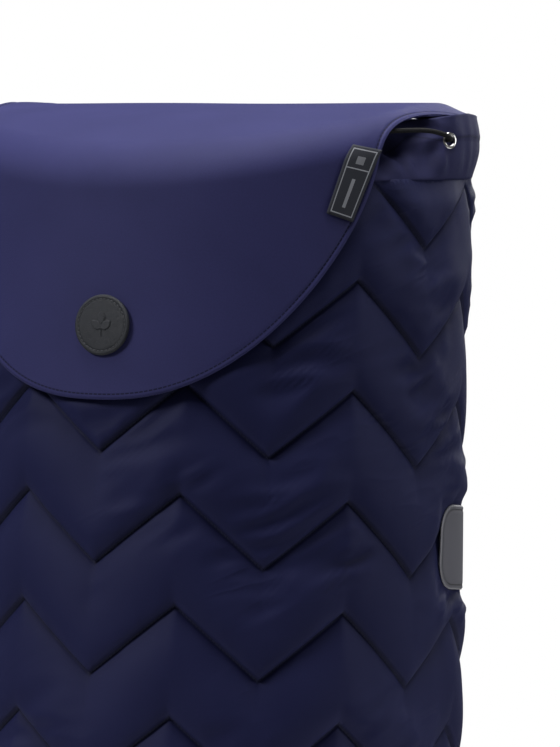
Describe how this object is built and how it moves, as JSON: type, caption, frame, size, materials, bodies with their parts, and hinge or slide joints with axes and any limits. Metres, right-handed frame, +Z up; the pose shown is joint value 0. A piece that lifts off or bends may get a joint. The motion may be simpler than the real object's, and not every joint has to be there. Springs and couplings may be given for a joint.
{
  "type": "shopping trolley",
  "caption": "Two-wheeled shopping trolley with a padded upright bag, a rounded flap, a drawstring collar, a sliding handle and a front stand.",
  "frame": {"origin": "on the ground, in the middle of the whole trolley's width and depth", "axes": "+Z up, the trolley's front with the flap faces -Y, +X to the right seen from the front"},
  "size_m": [0.466, 0.4348, 0.6866],
  "materials": {
    "quilted_fabric": "navy quilted polyester",
    "plain_fabric": "navy woven polyester",
    "flap_fabric": "navy coated twill",
    "webbing": "black webbing",
    "cord": "black braided cord",
    "leather": "embossed dark leather",
    "woven_label": "dark grey woven label",
    "grey_patch": "grey reflective patch",
    "nickel": "bright nickel",
    "frame_paint": "dark grey powder coat",
    "aluminium": "satin anodised",
    "foam_grip": "black foam rubber",
    "black_plastic": "black moulded plastic",
    "wheel_plastic": "dark grey moulded plastic",
    "tyre": "black solid rubber",
    "zinc_steel": "zinc plated"
  },
  "bodies": {
    "trolley": {"axle": "zinc_steel", "axle_bracket_left": "frame_paint", "axle_bracket_right": "frame_paint", "axle_bushes": "black_plastic", "axle_retainers": "zinc_steel", "axle_tube": "frame_paint", "axle_washers": "zinc_steel", "bag_base": "quilted_fabric", "bag_collar": "plain_fabric", "bag_shell": "quilted_fabric", "base_board": "black_plastic", "boss_caps": "black_plastic", "brace_lower": "frame_paint", "brace_upper": "frame_paint", "closure_plate": "nickel", "cord_end_left": "black_plastic", "cord_end_right": "black_plastic", "cord_lock_body": "black_plastic", "cord_lock_spring": "zinc_steel", "drawstring": "cord", "eyelet_left": "nickel", "eyelet_right": "nickel", "foot_left": "foam_grip", "foot_right": "foam_grip", "frame_bolts": "zinc_steel", "frame_nuts": "zinc_steel", "hanger_strap_left": "webbing", "hanger_strap_right": "webbing", "lower_strap": "webbing", "pin_spring_left": "zinc_steel", "pin_spring_right": "zinc_steel", "rail_collar_left": "black_plastic", "rail_collar_right": "black_plastic", "rail_left": "frame_paint", "rail_plug_left": "black_plastic", "rail_plug_right": "black_plastic", "rail_right": "frame_paint", "side_patch_left": "grey_patch", "side_patch_right": "grey_patch", "stand_bow": "frame_paint", "toe_bow": "frame_paint"},
    "flap": {"flap": "flap_fabric", "badge": "leather", "label": "woven_label", "closure_magnet": "nickel"},
    "handle": {"handle_bow": "aluminium", "handle_grip": "foam_grip", "handle_glide_left": "black_plastic", "handle_glide_right": "black_plastic"},
    "lock_knob_left": {"lock_knob_left": "black_plastic"},
    "lock_knob_right": {"lock_knob_right": "black_plastic"},
    "cord_lock_button": {"cord_lock_button": "black_plastic"},
    "wheel_left": {"wheel_rim_left": "wheel_plastic", "tyre_left": "tyre", "bearings_left": "zinc_steel", "hub_cap_left": "wheel_plastic"},
    "wheel_right": {"wheel_rim_right": "wheel_plastic", "tyre_right": "tyre", "bearings_right": "zinc_steel", "hub_cap_right": "wheel_plastic"}
  },
  "joints": [
    {"name": "flap_hinge", "type": "hinge", "parent": "trolley", "child": "flap", "pos_m": [0, 0.11979, 0.67741], "axis": [-1, 0, 0], "range_deg": [0, 90]},
    {"name": "handle_slide", "type": "slide", "parent": "trolley", "child": "handle", "axis": [0, 0.1045, 0.9945], "range_m": [0, 0.38]},
    {"name": "lock_knob_left_pull", "type": "slide", "parent": "trolley", "child": "lock_knob_left", "axis": [0, 0.9945, -0.1045], "range_m": [0, 0.005], "stiffness_N_per_m": 400, "springref_m": -0.005, "deforming": ["pin_spring_left"]},
    {"name": "lock_knob_right_pull", "type": "slide", "parent": "trolley", "child": "lock_knob_right", "axis": [0, 0.9945, -0.1045], "range_m": [0, 0.005], "stiffness_N_per_m": 400, "springref_m": -0.005, "deforming": ["pin_spring_right"]},
    {"name": "cord_lock_press", "type": "slide", "parent": "trolley", "child": "cord_lock_button", "axis": [0, 0.9945, -0.1045], "range_m": [0, 0.003], "stiffness_N_per_m": 300, "springref_m": -0.003, "deforming": ["cord_lock_spring"]},
    {"name": "wheel_left_spin", "type": "hinge", "parent": "trolley", "child": "wheel_left", "pos_m": [0, 0.11742, 0.1], "axis": [1, 0, 0], "continuous": true},
    {"name": "wheel_right_spin", "type": "hinge", "parent": "trolley", "child": "wheel_right", "pos_m": [0, 0.11742, 0.1], "axis": [1, 0, 0], "continuous": true}
  ]
}
